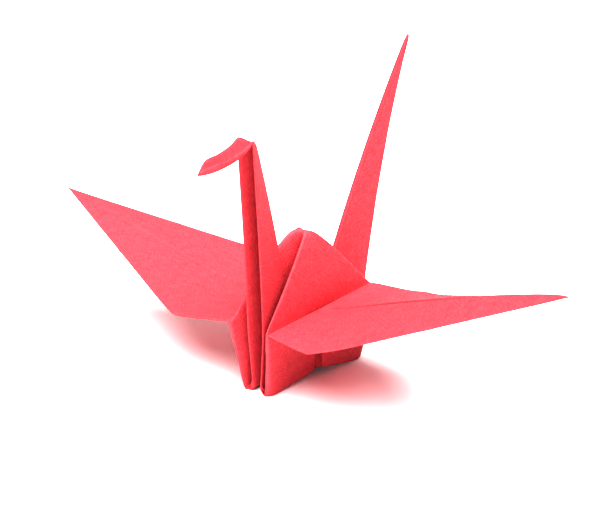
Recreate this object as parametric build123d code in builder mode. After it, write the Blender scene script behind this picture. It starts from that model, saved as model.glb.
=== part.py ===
from build123d import *
from math import asin, atan2, cos, degrees, hypot, radians, sin, sqrt, tan
import os

# Origami crane, folded from one square sheet of thin paper.
#
# The crane stands on the table (z = 0). +X is towards the head, +Y is the crane's left, +Z is up, and
# the origin is on the table under the tip of the hump, which is the centre of the sheet.
# All of it is one sheet. Each flap is a stack of layers lying on each other and joined at its folds, so
# the flat bird base is worked out first, and then every flap is laid where it stands in the crane.

# ---- driving dimensions (mm and degrees) ----
sheet_side = 150.0
paper = 0.11
air_gap = 0.05              # between the layers of a pressed flap
shoulder_front = 4.2        # half the body's width at the wing roots, neck side
shoulder_rear = 6.8         # the same, tail side
neck_foot_drop = 2.45       # how far each reverse fold runs down below the crotch of the base
tail_foot_drop = 3.95
head_ridge = 19.0           # length of the head along its ridge, and along its open edges
head_edge = 15.4
left_wing_rise = 20.0       # slope of each wing above level
right_wing_rise = 11.0
base_angle = 22.5           # half the point angle of each flap of the bird base
crease_proud = 0.005        # a pressed crease stands a hair proud of the paper

layer_pitch = paper + air_gap
crease_radius = paper / 2 + crease_proud

# Layers of a body side, counted from the inside out. A layer keeps its number into the wing.
INNER, HUMP, WING, FLAP, FLAP_CORNER, WING_CORNER, HUMP_CORNER, OUTER = range(8)
NECK_LAYERS = 4

# ---- the flat bird base: x along the base towards the tail, y from the leg tips to the wing tips ----
narrow = tan(radians(base_angle / 2))
wide = tan(radians(base_angle))
crotch_y = sheet_side / 2
centre = Vector(0, sheet_side / sqrt(2))
wing_tip = Vector(0, sheet_side)
root_y = centre.Y / (1 + narrow)
shoulder_x = narrow * root_y
kink_y = sheet_side * wide / (narrow + wide)
kink_x = narrow * kink_y
hinge_x = narrow * crotch_y
corner_y = hypot(crotch_y, wide * crotch_y)
crotch = Vector(0, crotch_y)
corner = Vector(0, corner_y)
root_middle = Vector(0, root_y)
corner_root_x = kink_x * (root_y - corner_y) / (kink_y - corner_y)
leg_tip = Vector(0, 0)


def foot(drop):
    """Flat corner where a reverse fold meets the narrowed edge of its leg."""
    y = crotch_y - drop
    return Vector(-narrow * y, y)


def tailwards(point):
    """The same flat point on the tail half."""
    return Vector(-point.X, point.Y)


shoulder = Vector(-shoulder_x, root_y)
kink = Vector(-kink_x, kink_y)
hinge_end = Vector(-hinge_x, crotch_y)
corner_root = Vector(-corner_root_x, root_y)
neck_foot = foot(neck_foot_drop)
tail_foot = foot(tail_foot_drop)

# ---- the opened body: each inner panel turns about its spine, centre to crotch ----
front_open = asin(shoulder_front / shoulder_x)
rear_open = asin(shoulder_rear / shoulder_x)
front_reach = shoulder_x * cos(front_open)
rear_reach = shoulder_x * cos(rear_open)
shoulder_drop = centre.Y - root_y
root_span = sqrt((2 * shoulder_x) ** 2 - (shoulder_rear - shoulder_front) ** 2)
# The tail-side spine leans back until the two shoulders are a wing root apart.
rear_lean = asin((root_span - front_reach) / hypot(shoulder_drop, rear_reach))
rear_lean -= atan2(rear_reach, shoulder_drop)


def front_point(flat):
    """Where a flat point of the neck-side inner panel stands, measured from the hump tip."""
    out = -flat.X
    return Vector(out * cos(front_open), out * sin(front_open), flat.Y - centre.Y)


def rear_point(flat):
    """The same for the tail-side panel, given the flat point of its neck-side twin."""
    back = -flat.X * cos(rear_open)
    down = centre.Y - flat.Y
    x = -down * sin(rear_lean) - back * cos(rear_lean)
    z = -down * cos(rear_lean) + back * sin(rear_lean)
    return Vector(x, -flat.X * sin(rear_open), z)


# Both feet come to the table: the body pitches about the hump and is lifted on its feet.
front_foot = front_point(neck_foot)
rear_foot = rear_point(tail_foot)
pitch = degrees(atan2(front_foot.Z - rear_foot.Z, front_foot.X - rear_foot.X))
stand_height = -front_foot.rotate(Axis.Y, pitch).Z


def stand(point):
    return point.rotate(Axis.Y, pitch) + Vector(0, 0, stand_height)


hump_tip = stand(Vector(0, 0, 0))
front_shoulder = stand(front_point(shoulder))
rear_shoulder = stand(rear_point(shoulder))
front_foot = stand(front_foot)
rear_foot = stand(rear_foot)
front_crotch = stand(front_point(crotch))
rear_crotch = stand(rear_point(crotch))


def lay(flat_a, flat_b, flat_c, a, b, c):
    """Plane that lays the flat base down with flat_a on a, flat_b towards b and flat_c on c's side."""
    along = (flat_b - flat_a).normalized()
    across = Vector(-along.Y, along.X)
    side = 1 if across.dot(flat_c - flat_a) > 0 else -1
    u = (b - a).normalized()
    v = (c - a - u * u.dot(c - a)).normalized() * side
    x_dir = u * along.X - v * along.Y
    y_dir = u * along.Y + v * along.X
    return Plane(origin=a - x_dir * flat_a.X - y_dir * flat_a.Y, x_dir=x_dir, z_dir=x_dir.cross(y_dir))


def place(plane, flat, level=0):
    """Middle of the paper at a flat point of a laid flap."""
    return plane.from_local_coords(Vector(flat.X, flat.Y, level * layer_pitch))


def layer(plane, outline, level=0):
    """One layer of paper on a laid flap."""
    with BuildSketch(plane.offset(level * layer_pitch)) as sheet:
        with BuildLine():
            Polyline(*outline, close=True)
        make_face()
    extrude(sheet.sketch, amount=paper / 2, both=True)


def crease(start, end, radius=crease_radius):
    """A rounded fold between two points."""
    with BuildSketch(Plane(origin=start, z_dir=end - start)) as section:
        Circle(radius)
    extrude(section.sketch, amount=(end - start).length)


def wrap(plane, start, end, low, high):
    """A fold along a flap's edge that joins layer low to layer high round those between."""
    first = place(plane, start, (low + high) / 2)
    last = place(plane, end, (low + high) / 2)
    with BuildSketch(Plane(origin=first, x_dir=plane.z_dir, z_dir=last - first)) as section:
        SlotCenterToCenter(abs(high - low) * layer_pitch, 2 * crease_radius)
    extrude(section.sketch, amount=(last - first).length)


def ridge(start, end):
    """The rounded back that joins the left and right stacks of a limb across the middle plane."""
    first = Vector(start.X, 0, start.Z)
    last = Vector(end.X, 0, end.Z)
    with BuildSketch(Plane(origin=first, x_dir=(0, 1, 0), z_dir=last - first)) as section:
        SlotCenterToCenter(2 * spine_half, 2 * crease_radius)
    extrude(section.sketch, amount=(last - first).length)


# ---- where each flap of the left half lies ----
front_panel = lay(centre, crotch, shoulder, hump_tip, front_crotch, front_shoulder)
rear_panel = lay(centre, crotch, tailwards(shoulder), hump_tip, rear_crotch, rear_shoulder)
hump_face = lay(shoulder, tailwards(shoulder), centre, front_shoulder, rear_shoulder, hump_tip)
feet_middle = (front_foot + rear_foot) / 2
side_face = lay(shoulder, tailwards(shoulder), crotch, front_shoulder, rear_shoulder, feet_middle)

# ---- neck and tail: each leg tip turned up inside its own leg ----
stack = (NECK_LAYERS - 1) * layer_pitch
spine_half = stack + paper


def limb_plane(toe, toe_place, crotch_place, lean):
    """Left half of a leg that is turned up through the body, its ridge beside the middle plane."""
    ridge_foot = crotch_place + Vector(0, spine_half, 0)
    ridge_end = ridge_foot + Vector(0, 0, crotch_y).rotate(Axis.Y, lean + pitch)
    return lay(crotch, leg_tip, toe, ridge_foot, ridge_end, toe_place)


# A reverse fold leans its limb by twice the slope of the fold line.
neck_lean = degrees(2 * atan2(neck_foot_drop, -neck_foot.X))
tail_lean = degrees(rear_lean) - degrees(2 * atan2(tail_foot_drop, -tail_foot.X))
neck_plane = limb_plane(neck_foot, front_foot, front_crotch, neck_lean)
tail_plane = limb_plane(tail_foot, rear_foot, rear_crotch, tail_lean)

head_ridge_root = Vector(0, head_ridge)
head_edge_root = Vector(-sin(radians(base_angle / 2)), cos(radians(base_angle / 2))) * head_edge
ridge_root = place(neck_plane, head_ridge_root)
edge_root = place(neck_plane, head_edge_root)
# The beak tip lies in the plane of the ridge, a ridge length and an edge length from the fold's ends.
fold_line = Vector(edge_root.X - ridge_root.X, 0, edge_root.Z - ridge_root.Z)
edge_run = sqrt(head_edge**2 - (edge_root.Y - ridge_root.Y) ** 2)
along = (head_ridge**2 - edge_run**2 + fold_line.length**2) / (2 * fold_line.length)
below = sqrt(head_ridge**2 - along**2)
beak_tip = ridge_root + fold_line.normalized() * along + fold_line.normalized().rotate(Axis.Y, 90) * below
head_plane = lay(head_ridge_root, leg_tip, head_edge_root, ridge_root, beak_tip, edge_root)


def unturned(point):
    return point


def on_crease(y):
    """Flat point of the narrowed edge at a height y."""
    return Vector(-narrow * y, y)


def body_side(trims):
    """Inner panels, hump face and layered side. trims shorten each layer at the wing bend."""
    for panel, toe, half in ((front_panel, neck_foot, unturned), (rear_panel, tail_foot, tailwards)):
        layer(panel, (centre, half(shoulder), half(toe), crotch))
        crease(place(panel, centre), place(panel, crotch))
        crease(place(panel, centre), place(panel, half(shoulder)))
        flap_root = on_crease(root_y - trims[FLAP])
        corner_end = on_crease(root_y - trims[FLAP_CORNER])
        layer(side_face, (half(flap_root), half(toe), crotch, Vector(0, flap_root.Y)), FLAP)
        layer(side_face, (half(corner_end), half(toe), crotch, corner, half(corner_root)), FLAP_CORNER)
        layer(side_face, (half(corner_end), half(hinge_end), corner, half(corner_root)), WING_CORNER)
        layer(side_face, (half(shoulder), half(hinge_end), corner), HUMP_CORNER)
        layer(side_face, (half(shoulder), half(toe), crotch, corner), OUTER)
        wrap(side_face, half(shoulder), half(toe), INNER, OUTER)
        wrap(side_face, half(shoulder), corner, HUMP_CORNER, OUTER)
        wrap(side_face, half(hinge_end), corner, WING_CORNER, HUMP_CORNER)
        wrap(side_face, crotch, corner, FLAP_CORNER, OUTER)
    wing_root = on_crease(root_y - trims[WING])
    layer(side_face, (wing_root, hinge_end, tailwards(hinge_end), tailwards(wing_root)), WING)
    layer(side_face, (shoulder, hinge_end, tailwards(hinge_end), tailwards(shoulder)), HUMP)
    wrap(side_face, hinge_end, tailwards(hinge_end), HUMP, WING)
    layer(hump_face, (centre, shoulder, tailwards(shoulder)))
    wrap(side_face, shoulder, tailwards(shoulder), INNER, HUMP)


def wing(plane, trims):
    """Wing of the left half: one seamless top layer, two flaps that meet in a slit, and the base corners."""
    top_root = on_crease(root_y + trims[WING])
    layer(plane, (top_root, kink, wing_tip, tailwards(kink), tailwards(top_root)), WING)
    for half in (unturned, tailwards):
        flap_root = on_crease(root_y + trims[FLAP])
        corner_end = on_crease(root_y + trims[FLAP_CORNER])
        layer(plane, (half(flap_root), half(kink), wing_tip, Vector(0, flap_root.Y)), FLAP)
        layer(plane, (half(corner_end), half(kink), half(corner_root)), FLAP_CORNER)
        layer(plane, (half(corner_end), half(kink), half(corner_root)), WING_CORNER)
        wrap(plane, half(shoulder), half(kink), WING, WING_CORNER)
        wrap(plane, half(kink), wing_tip, WING, FLAP)
        wrap(plane, half(kink), half(corner_root), FLAP_CORNER, WING_CORNER)


def wing_bend(trims):
    """Each layer that runs out into the wing bends at the root, the upper ones round the lower."""
    for level in range(WING, WING_CORNER + 1):
        bend = on_crease(root_y - trims[level])
        crease(place(side_face, bend, level), place(side_face, tailwards(bend), level))


def inward(plane):
    """Level step towards the middle plane, on a left-hand limb."""
    return -1 if plane.z_dir.Y > 0 else 1


def limb(plane, outline, edge_end):
    """Left half of a neck, tail or head: a folded stack between its toe edge and its ridge."""
    toe, base, ridge_end = outline[:3]
    last = inward(plane) * (NECK_LAYERS - 1)
    for level in range(NECK_LAYERS):
        layer(plane, outline, inward(plane) * level)
    wrap(plane, toe, edge_end, 0, last)
    ridge(place(plane, base), place(plane, ridge_end))


def triangle(a, b, c):
    """A small flat facet of paper between three points."""
    facet = Plane(origin=a, x_dir=b - a, z_dir=(b - a).cross(c - a))
    with BuildSketch(facet) as sheet:
        with BuildLine():
            Polyline(*(facet.to_local_coords(point) for point in (a, b, c)), close=True)
        make_face()
    extrude(sheet.sketch, amount=paper / 2, both=True)


def reverse_fold(plane, toe, side_toe):
    """The layers of a body side turn up into a limb along its foot."""
    last = inward(plane) * (NECK_LAYERS - 1)
    outer_toe = place(side_face, side_toe, OUTER)
    outer_crotch = place(side_face, crotch, OUTER)
    inner_toe = place(plane, toe, last)
    inner_crotch = place(plane, crotch, last)
    triangle(outer_toe, outer_crotch, inner_crotch)
    triangle(outer_toe, inner_crotch, inner_toe)
    crease(outer_toe, outer_crotch)
    crease(inner_toe, inner_crotch)
    crease(outer_toe, inner_toe)


halves = {}
for hand, rise in (("left", left_wing_rise), ("right", right_wing_rise)):
    wing_out = Vector(0, cos(radians(rise)), sin(radians(rise)))
    wing_root = (front_shoulder + rear_shoulder) / 2
    aim = wing_root + wing_out
    wing_face = lay(shoulder, tailwards(shoulder), wing_tip, front_shoulder, rear_shoulder, aim)
    half_turn = radians(side_face.y_dir.get_angle(wing_face.y_dir) / 2)
    bend_trims = [level * layer_pitch * tan(half_turn) for level in range(OUTER + 1)]
    with BuildPart() as half:
        body_side(bend_trims)
        wing(wing_face, bend_trims)
        wing_bend(bend_trims)
        limb(neck_plane, (neck_foot, crotch, head_ridge_root, head_edge_root), head_edge_root)
        limb(tail_plane, (tail_foot, crotch, leg_tip), leg_tip)
        limb(head_plane, (head_edge_root, head_ridge_root, leg_tip), leg_tip)
        wrap(neck_plane, head_ridge_root, head_edge_root, 0, inward(neck_plane) * (NECK_LAYERS - 1))
        reverse_fold(neck_plane, neck_foot, neck_foot)
        reverse_fold(tail_plane, tail_foot, tailwards(tail_foot))
    halves[hand] = half.part

# The two halves share the hump, the inner folds and the ridges, and stand on the table together.
lift = -min(half_part.bounding_box().min.Z for half_part in halves.values())
with BuildPart() as crane:
    with Locations((0, 0, lift)):
        add(halves["left"])
        add(mirror(halves["right"], about=Plane.XZ, mode=Mode.PRIVATE))

os.makedirs("parts", exist_ok=True)
crane.part.label = "crane"
export_step(crane.part, "parts/crane.step")
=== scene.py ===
import math

import bmesh
import bpy
from mathutils import Matrix, Vector


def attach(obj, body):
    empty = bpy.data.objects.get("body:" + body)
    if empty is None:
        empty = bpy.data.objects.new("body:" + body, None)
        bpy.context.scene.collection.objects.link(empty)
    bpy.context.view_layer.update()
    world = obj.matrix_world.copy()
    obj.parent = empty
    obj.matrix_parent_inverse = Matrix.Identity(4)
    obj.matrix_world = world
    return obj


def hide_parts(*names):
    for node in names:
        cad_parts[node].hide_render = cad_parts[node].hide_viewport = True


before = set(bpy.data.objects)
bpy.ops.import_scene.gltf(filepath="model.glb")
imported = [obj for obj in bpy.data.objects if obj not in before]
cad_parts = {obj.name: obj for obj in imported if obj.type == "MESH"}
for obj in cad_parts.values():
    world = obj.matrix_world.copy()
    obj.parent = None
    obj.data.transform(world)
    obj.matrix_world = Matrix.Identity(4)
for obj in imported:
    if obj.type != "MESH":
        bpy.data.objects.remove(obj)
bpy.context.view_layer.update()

mm = 0.001

# ---------------------------------------------------------------- the square sheet
# The crane is one square of thin paper, dyed red right through, so both faces and the raw
# edges are the same colour. Its corners become the beak, the tail tip and the two wing tips.
side = 150 * mm
paper = 0.11 * mm
half_diagonal = side / math.sqrt(2)
point_angle = math.radians(22.5)

sheet = bmesh.new()
bmesh.ops.create_grid(
    sheet, x_segments=1, y_segments=1, size=side / 2, matrix=Matrix.Rotation(math.radians(45), 4, "Z")
)
sheet_map = sheet.loops.layers.uv.new("Sheet")
for face in sheet.faces:
    for loop in face.loops:
        x, y = loop.vert.co.xy
        loop[sheet_map].uv = (0.5 + (x + y) / (side * math.sqrt(2)), 0.5 + (y - x) / (side * math.sqrt(2)))


# ---------------------------------------------------------------- the creases of the bird base
# Both diagonals and both middle lines are pressed first, then the kite folds at all four corners
# and the two petal hinges. Neck and tail lie along X, the wings along Y.
hinge = half_diagonal - side / 2


def press(mesh, faces, point, along):
    """Crease the faces where a line crosses them."""
    parts = set(faces)
    for pressed in faces:
        parts.update(pressed.edges)
        parts.update(pressed.verts)
    across = Vector((-along[1], along[0], 0))
    bmesh.ops.bisect_plane(
        mesh, geom=list(parts), dist=1e-7, plane_co=(point[0], point[1], 0), plane_no=across.normalized()
    )


def spot(pressed):
    """Middle of a face."""
    return pressed.calc_center_median()


for along in ((1, 0), (0, 1), (1, 1), (1, -1)):
    press(sheet, sheet.faces[:], (0, 0), along)
for end in (-1, 1):
    for slope in (-1, 1):
        limb_faces = [f for f in sheet.faces if abs(spot(f).x) > abs(spot(f).y) and spot(f).x * end > 0]
        press(sheet, limb_faces, (end * half_diagonal, 0), (-end, slope * math.tan(point_angle)))
        wing_faces = [f for f in sheet.faces if abs(spot(f).y) > abs(spot(f).x) and spot(f).y * end > 0]
        press(sheet, wing_faces, (0, end * half_diagonal), (slope * math.tan(point_angle), -end))
    hinge_faces = [f for f in sheet.faces if abs(spot(f).y) > abs(spot(f).x)]
    press(sheet, hinge_faces, (0, end * hinge), (1, 0))

# ---------------------------------------------------------------- the flat bird base
# Folded flat, the base is a narrow diamond: x runs from the neck side to the tail side and y from the
# two leg tips up to the two wing tips. Plies are numbered from the inside of the base outwards.
INNER, HUMP, WING, FLAP = range(4)
OUTER = 7
ply = sheet.faces.layers.int.new("ply")
hand = sheet.faces.layers.int.new("hand")
end_of = sheet.faces.layers.int.new("end")

flat = {}
for face in sheet.faces:
    middle = spot(face)
    out, along = abs(middle.y), abs(middle.x)
    face[hand] = 1 if middle.y > 0 else -1
    face[end_of] = 1 if middle.x > 0 else -1
    if along > out:
        face[ply] = INNER if math.atan2(out, half_diagonal - along) < point_angle else FLAP
    elif math.atan2(along, half_diagonal - out) < point_angle:
        face[ply] = HUMP if out < hinge else WING
    else:
        face[ply] = FLAP
    for vert in face.verts:
        u, v = abs(vert.co.x), abs(vert.co.y)
        if face[ply] == INNER:
            place = (v, half_diagonal - u)
        elif face[ply] == HUMP:
            place = (u, half_diagonal - v)
        elif face[ply] == WING:
            place = (u, side / 2 + v - hinge)
        else:
            place = ((half_diagonal - u - v) / math.sqrt(2), side / 2 + (v - u) / math.sqrt(2))
        flat[vert] = Vector((face[end_of] * place[0], place[1], 0))
for vert, place in flat.items():
    vert.co = place

# ---------------------------------------------------------------- the narrowed legs
# The edges of both legs are folded to the middle line, front and back, and each takes the corner of
# the base above it along. What turns over lies outermost.
narrow = math.tan(point_angle / 2)
crotch_y = side / 2
root_y = half_diagonal / (1 + narrow)
kink_y = side * math.tan(point_angle) / (narrow + math.tan(point_angle))
neck_foot_y = crotch_y - 2.45 * mm
tail_foot_y = crotch_y - 3.95 * mm
head_ridge = 17.5 * mm
head_edge = 14.4 * mm

for end in (-1, 1):
    press(sheet, sheet.faces[:], (0, 0), (end * narrow, 1))
for face in sheet.faces:
    middle = spot(face)
    if abs(middle.x) > narrow * middle.y:
        face[ply] = OUTER - face[ply]
for vert in sheet.verts:
    if abs(vert.co.x) > narrow * vert.co.y + 1e-6:
        edge = Vector((math.copysign(narrow, vert.co.x), 1, 0)).normalized()
        vert.co = 2 * vert.co.dot(edge) * edge - vert.co


def edge_point(y, end=-1):
    """Flat point of a narrowed edge."""
    return Vector((end * narrow * y, y, 0))


head_edge_foot = edge_point(head_edge * math.cos(point_angle / 2))
press(sheet, [f for f in sheet.faces if INNER < f[ply] < OUTER], (0, root_y), (1, 0))
for end, foot_y in ((-1, neck_foot_y), (1, tail_foot_y)):
    foot = edge_point(foot_y, end)
    press(sheet, [f for f in sheet.faces if f[end_of] == end], (0, crotch_y), (foot.x, foot.y - crotch_y))
neck_faces = [f for f in sheet.faces if f[end_of] == -1 and spot(f).y < crotch_y - 3 * mm]
press(sheet, neck_faces, (0, head_ridge), (head_edge_foot.x, head_edge_foot.y - head_ridge))

# ---------------------------------------------------------------- the opened body
# Pulling the wings apart opens the body: each inner panel swings about its spine, from the middle
# of the sheet down to the crotch, and the hump faces lean in over them. It stands on four toes.
shoulder_front = 3.7 * mm     # half the body's width at the wing roots, neck side
shoulder_rear = 5.9 * mm
toe_front = 2.35 * mm         # half the spread of the toes, and how far each pair is drawn outwards
toe_rear = 6.0 * mm
toe_forward = 0.7 * mm
toe_back = 1.8 * mm
ply_step = 0.14 * mm

centre = Vector((0, half_diagonal, 0))
crotch = Vector((0, crotch_y, 0))
shoulder = edge_point(root_y)
rear_shoulder = edge_point(root_y, 1)
spine_drop = half_diagonal - root_y
front_open = math.asin(shoulder_front / -shoulder.x)
rear_open = math.asin(shoulder_rear / -shoulder.x)
root_span = math.sqrt(4 * shoulder.x ** 2 - (shoulder_rear - shoulder_front) ** 2)
rear_reach = -shoulder.x * math.cos(rear_open)
front_reach = -shoulder.x * math.cos(front_open)
rear_lean = math.asin((root_span - front_reach) / math.hypot(spine_drop, rear_reach))
rear_lean -= math.atan2(rear_reach, spine_drop)


def front_place(point, half_width):
    """Where a flat point of the neck-side panel goes, below the hump tip."""
    return Vector((math.sqrt(point.x ** 2 - half_width ** 2), half_width, point.y - half_diagonal))


def rear_place(point, half_width):
    """The same on the tail side, whose spine leans back."""
    swung = Vector((-math.sqrt(point.x ** 2 - half_width ** 2), half_width, point.y - half_diagonal))
    return Matrix.Rotation(rear_lean, 3, "Y") @ swung


corners = {
    "tip": Vector((0, 0, 0)),
    "front shoulder": front_place(shoulder, shoulder_front),
    "rear shoulder": rear_place(rear_shoulder, shoulder_rear),
    "front toe": front_place(edge_point(neck_foot_y), toe_front) + Vector((toe_forward, 0, 0)),
    "rear toe": rear_place(edge_point(tail_foot_y, 1), toe_rear) - Vector((toe_back, 0, 0)),
    "front crotch": front_place(crotch, 0),
    "rear crotch": rear_place(crotch, 0),
}
toes = corners["front toe"] - corners["rear toe"]
pitch = Matrix.Rotation(math.atan2(toes.z, toes.x), 3, "Y")
rounding = 0.18 * mm          # a toe's fold is round, so its lowest point lies above its crease
stand = -(pitch @ corners["front toe"]).z - rounding
corners = {name: pitch @ corner + Vector((0, 0, stand)) for name, corner in corners.items()}


def lay(flat_a, flat_b, flat_c, a, b, c):
    """Matrix that lays flat_a on a, flat_b towards b and flat_c on c's side. Its third axis is out."""
    along = (flat_b - flat_a).normalized()
    across = Vector((-along.y, along.x, 0))
    turn = 1 if across.dot(flat_c - flat_a) > 0 else -1
    u = (b - a).normalized()
    v = (c - a - u * u.dot(c - a)).normalized() * turn
    x_dir = u * along.x - v * along.y
    y_dir = u * along.y + v * along.x
    turned = Matrix((x_dir, y_dir, x_dir.cross(y_dir))).transposed().to_4x4()
    return Matrix.Translation(a - x_dir * flat_a.x - y_dir * flat_a.y) @ turned


root_middle = (corners["front shoulder"] + corners["rear shoulder"]) / 2
flat_root = Vector((0, root_y, 0))
panel_lay = {
    -1: lay(centre, crotch, shoulder, corners["tip"], corners["front crotch"], corners["front shoulder"]),
    1: lay(centre, crotch, rear_shoulder, corners["tip"], corners["rear crotch"], corners["rear shoulder"]),
}
hump_lay = lay(
    shoulder, rear_shoulder, centre, corners["front shoulder"], corners["rear shoulder"], corners["tip"]
)
side_lay = {}
toe_shift = {}
ends = ((-1, shoulder, neck_foot_y, "front"), (1, rear_shoulder, tail_foot_y, "rear"))
for end, flat_shoulder, foot_y, where in ends:
    toe = corners[where + " toe"]
    flat_toe = edge_point(foot_y, end)
    side_lay[end] = lay(flat_shoulder, flat_root, flat_toe, corners[where + " shoulder"], root_middle, toe)
    toe_shift[end] = toe - panel_lay[end] @ flat_toe
# Blowing and pulling by hand never open both sides alike: 1 is the crane's left side, -1 its right.
splay = {1: 0 * mm, -1: 1.6 * mm}
hump_puff = {1: 0.9 * mm, -1: 1.8 * mm}
hump_lift = 1.15 * mm
hump_swell = 1.1 * mm
swell_up = 3.5 * mm
old_ridge = 0.2 * mm
old_ridge_width = 1.2 * mm

# Below each wing the flaps that hold neck (-1) and tail (1) part in a slit, and the neck's sags more.
slit = 0.22 * mm
slit_sag = {-1: 1.8 * mm, 1: 0.9 * mm}


def puff(place, hand_side):
    """How far the blown-up hump stands off its flat folds: most of all a little below its tip."""
    below_tip = max(0, (half_diagonal - place.y) / spine_drop)
    if below_tip > 1:
        height = max(0, (place.y - crotch_y) / (root_y - crotch_y))
        toe_share = 0.4
        return Vector((0, splay[hand_side] * (toe_share + (1 - toe_share) * height), 0))
    swell = math.sin(math.pi * math.sqrt(below_tip))
    return Vector((0, hump_puff[hand_side], hump_lift)) * swell + Vector((0, splay[hand_side] * below_tip, 0))


def on_panel(place, level, hand_side, end):
    """An inner panel, from its spine to its fold, drawn out to its toe."""
    foot_y = neck_foot_y if end < 0 else tail_foot_y
    spread = abs(place.x) / (narrow * place.y) * max(0, (root_y - place.y) / (root_y - foot_y))
    fold_x = -shoulder.x * (half_diagonal - place.y) / spine_drop
    outer_share = min(1, abs(place.x) / fold_x) if fold_x > 1e-9 else 1
    if place.y < root_y:
        outer_share = abs(place.x) / (narrow * place.y)
    return panel_lay[end] @ place + toe_shift[end] * spread + puff(place, hand_side) * outer_share ** 2


def on_hump(place, level, hand_side, end):
    """A hump face, blown out just above the wing root, with an old crease down its middle."""
    old_crease = old_ridge * math.exp(-abs(place.x) / old_ridge_width)
    above_root = max(0, place.y - root_y) / swell_up
    swell = hump_swell * above_root * math.exp(1 - above_root) * max(0, 1 - abs(place.x) / -shoulder.x)
    off_face = Vector((0, 0, level * ply_step + old_crease + swell))
    return hump_lay @ (place + off_face) + puff(place, hand_side)


def on_side(place, level, hand_side, end):
    """A side below the wing, where the flaps of neck and tail part in a slit and sag."""
    share = (root_y - place.y) / (root_y - crotch_y) * (1 - abs(place.x) / (narrow * place.y))
    share = max(0, min(1, share))
    parted = place - Vector((0, slit_sag[end] * share, 0))
    if level > FLAP:
        parted.x += end * slit * share
    pushed = puff(Vector((0, min(place.y, root_y), 0)), hand_side)
    return side_lay[end] @ (parted + Vector((0, 0, level * ply_step))) + pushed


# ---------------------------------------------------------------- the wings
# A wing is folded down from the body along its root and bent up again past its widest place. Its top
# is one seamless ply with the old centre crease in it; two flaps meet in a slit underneath.
root_slope = {1: math.radians(2), -1: math.radians(-7)}
tip_slope = {1: math.radians(23.9), -1: math.radians(13.5)}
under_wing = 5
wing_camber = {1: 3.7 * mm, -1: 0.3 * mm}
camber_run = 9 * mm
rear_droop = 0.4 * mm
swing_back = {1: math.radians(2), -1: math.radians(1.2)}
bend_start = 5 * mm
bend_length = 16 * mm
wing_out = (side_lay[-1].col[2].xyz + side_lay[1].col[2].xyz) / 2 * under_wing * ply_step
wing_back = (corners["rear shoulder"] - corners["front shoulder"]).normalized()
wing_side = (Vector((0, 1, 0)) - wing_back * wing_back.y).normalized()
steps = 16


def on_wing(place, level, hand_side, end):
    """A wing, sloped and bent along its run and crowned across, higher behind its old crease."""
    run = max(0, place.y - root_y)
    out, rise, slope = 0, 0, root_slope[hand_side]
    for step in range(steps):
        share = max(0, min(1, (run * (step + 0.5) / steps - bend_start) / bend_length))
        slope = root_slope[hand_side]
        slope += (tip_slope[hand_side] - root_slope[hand_side]) * share * share * (3 - 2 * share)
        out += math.cos(slope) * run / steps
        rise += math.sin(slope) * run / steps
    half_width = min(narrow * place.y, math.tan(point_angle) * (side - place.y)) + 0.01 * mm
    ridge_share = max(0, 1 - abs(place.x) / half_width)
    crown = (1 - math.exp(-(run / camber_run) ** 2)) * math.sqrt(min(1, half_width / (18 * mm)))
    roof = crown * (wing_camber[hand_side] * ridge_share - rear_droop * max(0, place.x) / half_width)
    step_up = 0.3 * mm if place.x > 0.1 * mm else 0
    dent = 0.25 * mm if abs(place.x) < 0.05 * mm else 0
    old_crease = (step_up * ridge_share ** 4 - dent) * min(1, run / (4 * mm)) * min(1, half_width / (12 * mm))
    stack = (under_wing - level) * ply_step + roof + old_crease
    face_up = Vector((0, -math.sin(slope), math.cos(slope)))
    root = root_middle + wing_out + Vector((0, splay[hand_side], 0))
    along = wing_side * math.cos(swing_back[hand_side]) + wing_back * math.sin(swing_back[hand_side])
    return root + wing_back * place.x + along * out + Vector((0, 0, rise)) + face_up * stack


# ---------------------------------------------------------------- neck, tail and head
# Each leg is turned up inside itself, so its ridge faces the hump and its open edges face outwards.
# The neck tip is turned down the same way into the head, and its ridge runs along underneath.
limb_rank = {INNER: 0, FLAP: 1, OUTER - FLAP: 2, OUTER: 3}
ridge_half = 4 * ply_step
ridge_set_back = 0.02
neck_half = 2.2 * mm
neck_pinch = 0.6 * mm
neck_bow = 1.1 * mm
tail_bow = 2.4 * mm


def limb_point(base, along, forward, run, width, share, half, level):
    """Point of a limb half, by its run from the base and its share of the way from ridge to open edge."""
    rank = limb_rank[level]
    share += (1 - share) * ridge_set_back * rank
    reach = math.sqrt(max(width ** 2 - (half - ridge_half) ** 2, 0))
    ridge_point = base + along * run + Vector((0, ridge_half, 0))
    point = ridge_point + (forward * reach + Vector((0, half - ridge_half, 0))) * share
    return point - Vector((0, rank * ply_step, 0))


def edge_share(place):
    """How far a flat point is from the middle line towards the narrowed edge, from 0 to 1."""
    return min(1, abs(place.x) / (narrow * place.y)) if place.y > 0.01 * mm else 0


def limb_axes(crotch_place, foot_y, end):
    """Direction of a limb's ridge and the direction across it, towards its open edges."""
    tilt = math.atan2(crotch_y - foot_y, narrow * foot_y)
    base_up = (corners["tip"] - crotch_place).normalized()
    ridge = Matrix.Rotation(-end * 2 * tilt, 3, "Y") @ base_up
    across = Vector((ridge.z, 0, -ridge.x)) * -end
    return ridge, across


neck_ridge, neck_forward = limb_axes(corners["front crotch"], neck_foot_y, -1)
tail_ridge, tail_forward = limb_axes(corners["rear crotch"], tail_foot_y, 1)
neck_share = 1 - head_ridge / crotch_y


def on_neck(place, level, hand_side, end):
    """A half of the neck, pinched at its foot and bowed a little."""
    gone = 1 - place.y / crotch_y
    half = neck_pinch + (neck_half - neck_pinch) * max(0, min(1, gone / 0.22)) ** 0.7
    base = corners["front crotch"] - neck_forward * neck_bow * 4 * gone * (1 - gone)
    run, width = gone * crotch_y, narrow * place.y
    return limb_point(base, neck_ridge, neck_forward, run, width, edge_share(place), half, level)


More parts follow.
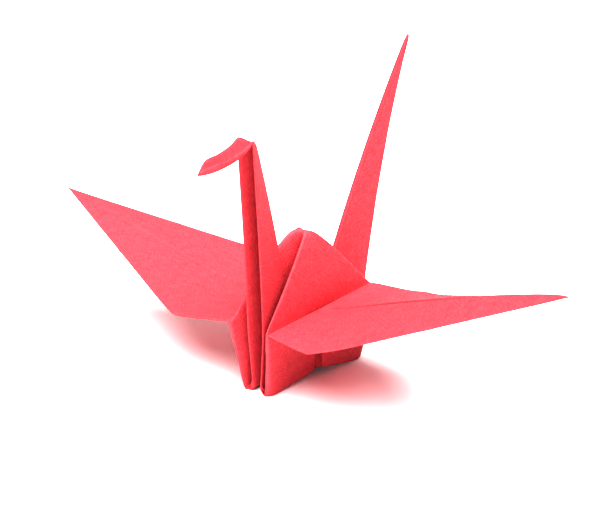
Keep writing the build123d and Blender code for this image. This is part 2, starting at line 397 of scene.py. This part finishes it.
def on_tail(place, level, hand_side, end):
    """A half of the tail, wide open at its foot and closed at its tip."""
    gone = 1 - place.y / crotch_y
    half = ridge_half + (toe_rear - ridge_half) * max(0, 1 - gone) ** 1.3
    base = corners["rear crotch"] - tail_forward * tail_bow * 4 * gone * (1 - gone)
    run, width = gone * crotch_y, narrow * place.y
    return limb_point(base, tail_ridge, tail_forward, run, width, edge_share(place), half, level)


# The beak was pinched blunt: its ridge sags, and its edges stay wide and are drawn in at the tip.
beak_sag = 1.5 * mm
beak_cut = 4.5 * mm
head_base = corners["front crotch"] + neck_ridge * (crotch_y - head_ridge)
head_base -= neck_forward * neck_bow * 4 * neck_share * (1 - neck_share)
fold_slope = math.atan2(-head_edge_foot.x, head_ridge - head_edge_foot.y)
head_along = Matrix.Rotation(2 * fold_slope, 3, "Y") @ neck_ridge
head_up = Vector((-head_along.z, 0, head_along.x))


def on_head(place, level, hand_side, end):
    """A half of the head, turned inside out, so its plies count the other way."""
    gone = 1 - place.y / head_ridge
    share = edge_share(place)
    base = head_base - head_up * beak_sag * 4 * gone * (1 - gone)
    run = gone * head_ridge - share * beak_cut * gone ** 2
    width = narrow * (place.y + max(0, gone - 0.2) * head_ridge)
    return limb_point(base, head_along, head_up, run, width, share, neck_half, OUTER - level)


# ---------------------------------------------------------------- folding it up
# Each point of the sheet goes where its flap goes, and a point on a crease lies midway between the flaps
# that meet there. A narrow band beside each crease and an even grid let the paper bend round its folds.
flap_of = sheet.faces.layers.int.new("flap")
flaps = (on_panel, on_hump, on_side, on_wing, on_neck, on_tail, on_head)


def above(middle, a, b):
    """Whether a flat point lies on the upper side of the line through a and b."""
    return middle.y > a.y + (b.y - a.y) * (middle.x - a.x) / (b.x - a.x)


for face in sheet.faces:
    middle = spot(face)
    foot = edge_point(neck_foot_y if face[end_of] < 0 else tail_foot_y, face[end_of])
    if not above(middle, crotch, foot):
        if face[end_of] > 0:
            flap = on_tail
        elif above(middle, Vector((0, head_ridge, 0)), head_edge_foot):
            flap = on_neck
        else:
            flap = on_head
    elif face[ply] == INNER:
        flap = on_panel
    elif middle.y > root_y:
        flap = on_hump if face[ply] == HUMP else on_wing
    else:
        flap = on_side
    face[flap_of] = flaps.index(flap)

bend = 0.35 * mm
bmesh.ops.inset_individual(sheet, faces=sheet.faces[:], thickness=bend, use_even_offset=True)
grid = 3 * mm
for row in range(int(side / grid)):
    press(sheet, sheet.faces[:], (0, (row + 0.4) * grid), (1, 0))
for row in range(-7, 8):
    press(sheet, sheet.faces[:], ((row + 0.5) * grid, 0), (0, 1))
fold_mark = sheet.verts.layers.float.new("fold")
crease_shade_mark = sheet.verts.layers.float.new("crease_shade")
sharp_corner = sheet.verts.layers.float.new("crease_vert")
near = 0.01 * mm
for vert in sheet.verts:
    place = vert.co.copy()
    touching = {(face[flap_of], face[ply], face[hand], face[end_of]) for face in vert.link_faces}
    met = {flaps[flap] for flap, level, hand_side, end in touching}
    if on_side in met and on_panel not in met:
        touching = {piece for piece in touching if flaps[piece[0]] not in (on_neck, on_tail)}
    total = Vector((0, 0, 0))
    for flap, level, hand_side, end in touching:
        point = flaps[flap](place, level, hand_side, end)
        total += Vector((point.x, point.y * hand_side, point.z))
    vert.co = total / len(touching)
    vert[fold_mark] = 1.0 if len(met) > 1 else 0.3 * (len(touching) > 1)
    if place.y < near or place.y > side - near:
        vert[sharp_corner] = 1.0
    # Painted shade: the centre crease of the wings and hump is marked to be darkened in the material,
    # strongest along the near wing's middle run and weaker on the far side, standing in for the shadow in the
    # groove.
    if met <= {on_wing, on_hump} and len(touching) > 1 and abs(place.x) < near:
        shade_strength = max(0, 1 - abs(place.y - root_y - 20 * mm) / (34 * mm)) if on_wing in met else 0.25
        vert[crease_shade_mark] = shade_strength if vert.link_faces[0][hand] > 0 else 0.3 * shade_strength
bmesh.ops.dissolve_degenerate(sheet, edges=sheet.edges[:], dist=0.02 * mm)

mesh = bpy.data.meshes.new("folded_sheet")
sheet.to_mesh(mesh)
sheet.free()
crane = bpy.data.objects.new("folded_sheet", mesh)
bpy.context.collection.objects.link(crane)
for polygon in mesh.polygons:
    polygon.use_smooth = True
smooth = crane.modifiers.new("Rounded folds", "SUBSURF")
smooth.levels = 1
smooth.render_levels = 1
smooth.boundary_smooth = "PRESERVE_CORNERS"
thick = crane.modifiers.new("Paper", "SOLIDIFY")
thick.thickness = paper
thick.offset = 0

# ---------------------------------------------------------------- the red paper
# Soft wood-pulp paper dyed in the vat: cloudy where the pulp lay thicker, with fine fibres every way.
# Handling has rubbed the folds, so they are paler and rougher than the faces. The centre crease of the wings
# and hump carries painted shade.
red = bpy.data.materials.new("red_paper")
red.use_nodes = True
nodes, links = red.node_tree.nodes, red.node_tree.links
shader = nodes["Principled BSDF"]
shader.inputs["Specular IOR Level"].default_value = 0.35
sheet_uv = nodes.new("ShaderNodeUVMap")
sheet_uv.uv_map = "Sheet"


def pulp(across, along, turn, detail):
    """Noise stretched into fibres: how many fit across and along the sheet, and which way they lie."""
    lie = nodes.new("ShaderNodeMapping")
    lie.inputs["Scale"].default_value = (across, along, 1)
    lie.inputs["Rotation"].default_value = (0, 0, math.radians(turn))
    links.new(sheet_uv.outputs["UV"], lie.inputs["Vector"])
    noise = nodes.new("ShaderNodeTexNoise")
    noise.inputs["Scale"].default_value = 1
    noise.inputs["Detail"].default_value = detail
    links.new(lie.outputs["Vector"], noise.inputs["Vector"])
    return noise.outputs["Fac"]


def combine(operation, first, second):
    """Put two values together."""
    both = nodes.new("ShaderNodeMath")
    both.operation = operation
    for socket, value in zip(both.inputs, (first, second)):
        if isinstance(value, (int, float)):
            socket.default_value = value
        else:
            links.new(value, socket)
    return both.outputs["Value"]


def tint(share, first, second):
    """Mix two colours by a share."""
    mixed = nodes.new("ShaderNodeMix")
    mixed.data_type = "RGBA"
    links.new(share, mixed.inputs["Factor"])
    for socket, colour in ((mixed.inputs["A"], first), (mixed.inputs["B"], second)):
        if isinstance(colour, tuple):
            socket.default_value = colour
        else:
            links.new(colour, socket)
    return mixed.outputs["Result"]


clouds = pulp(55, 55, 0, 3)
grain = pulp(420, 420, 0, 3)
fibres = combine("MULTIPLY", pulp(60, 620, 18, 2), pulp(640, 70, -31, 2))
worn = nodes.new("ShaderNodeAttribute")
worn.attribute_name = "fold"
rubbed = combine("MULTIPLY", worn.outputs["Fac"], pulp(190, 190, 0, 2))

dyed = tint(clouds, (0.35, 0.009, 0.015, 1), (0.53, 0.027, 0.040, 1))
flecked = tint(fibres, dyed, (0.64, 0.12, 0.15, 1))
rubbed_pale = tint(combine("MULTIPLY", rubbed, 0.45), flecked, (0.68, 0.16, 0.19, 1))
# Painted shade: the marked centre crease darkens towards a deep red-black, standing in for the shadow in the
# groove.
pressed = nodes.new("ShaderNodeAttribute")
pressed.attribute_name = "crease_shade"
painted_crease_shade = combine("MULTIPLY", pressed.outputs["Fac"], 0.85)
links.new(tint(painted_crease_shade, rubbed_pale, (0.12, 0.002, 0.003, 1)), shader.inputs["Base Color"])
rough = combine("ADD", combine("MULTIPLY", grain, 0.16), combine("MULTIPLY", rubbed, 0.12))
links.new(combine("ADD", rough, 0.66), shader.inputs["Roughness"])
relief = nodes.new("ShaderNodeBump")
relief.inputs["Strength"].default_value = 1.0
relief.inputs["Distance"].default_value = 0.15 * mm
links.new(combine("ADD", grain, combine("MULTIPLY", fibres, 1.3)), relief.inputs["Height"])
links.new(relief.outputs["Normal"], shader.inputs["Normal"])
mesh.materials.append(red)
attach(crane, "root")
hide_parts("crane")

# ---------------------------------------------------------------- table, light and camera
# A plain white table under one broad softbox that hangs overhead, a little to the front and left, with
# white walls all round to fill the shade. The camera stands at the crane's front left, a little above.
floor_mesh = bpy.data.meshes.new("table")
floor_form = bmesh.new()
bmesh.ops.create_grid(floor_form, x_segments=1, y_segments=1, size=3)
floor_form.to_mesh(floor_mesh)
floor_form.free()
floor = bpy.data.objects.new("table", floor_mesh)
bpy.context.collection.objects.link(floor)
white = bpy.data.materials.new("white_table")
white.use_nodes = True
white.node_tree.nodes["Principled BSDF"].inputs["Base Color"].default_value = (0.94, 0.94, 0.94, 1)
floor_mesh.materials.append(white)

world = bpy.data.worlds.new("studio")
world.use_nodes = True
world.node_tree.nodes["Background"].inputs["Color"].default_value = (1, 1, 1, 1)
world.node_tree.nodes["Background"].inputs["Strength"].default_value = 0.72
bpy.context.scene.world = world
bpy.context.scene.view_settings.view_transform = "Standard"
bpy.context.scene.view_settings.gamma = 0.7

softbox = bpy.data.lights.new("overhead_softbox", "SUN")
softbox.energy = 12.5
softbox.angle = math.radians(70)
hung = bpy.data.objects.new("overhead_softbox", softbox)
hung.rotation_euler = (math.radians(-11), math.radians(14), 0)
bpy.context.collection.objects.link(hung)

yaw, tilt, roll = math.radians(34.9), math.radians(21.7), math.radians(3.4)
back = Vector((math.cos(yaw) * math.cos(tilt), math.sin(yaw) * math.cos(tilt), math.sin(tilt)))
right = Vector((0, 0, 1)).cross(back).normalized()
up = back.cross(right)
lens = bpy.data.cameras.new("camera")
lens.sensor_width = 36
lens.lens = 88.7
lens.clip_start = 0.01
camera = bpy.data.objects.new("camera", lens)
r = right * math.cos(roll) + up * math.sin(roll)
u = -right * math.sin(roll) + up * math.cos(roll)
aim = right * 0.75 * mm + up * 26.2 * mm
camera.matrix_world = Matrix.Translation(back * 330 * mm + aim) @ Matrix((r, u, back)).transposed().to_4x4()
bpy.context.collection.objects.link(camera)
bpy.context.scene.camera = camera
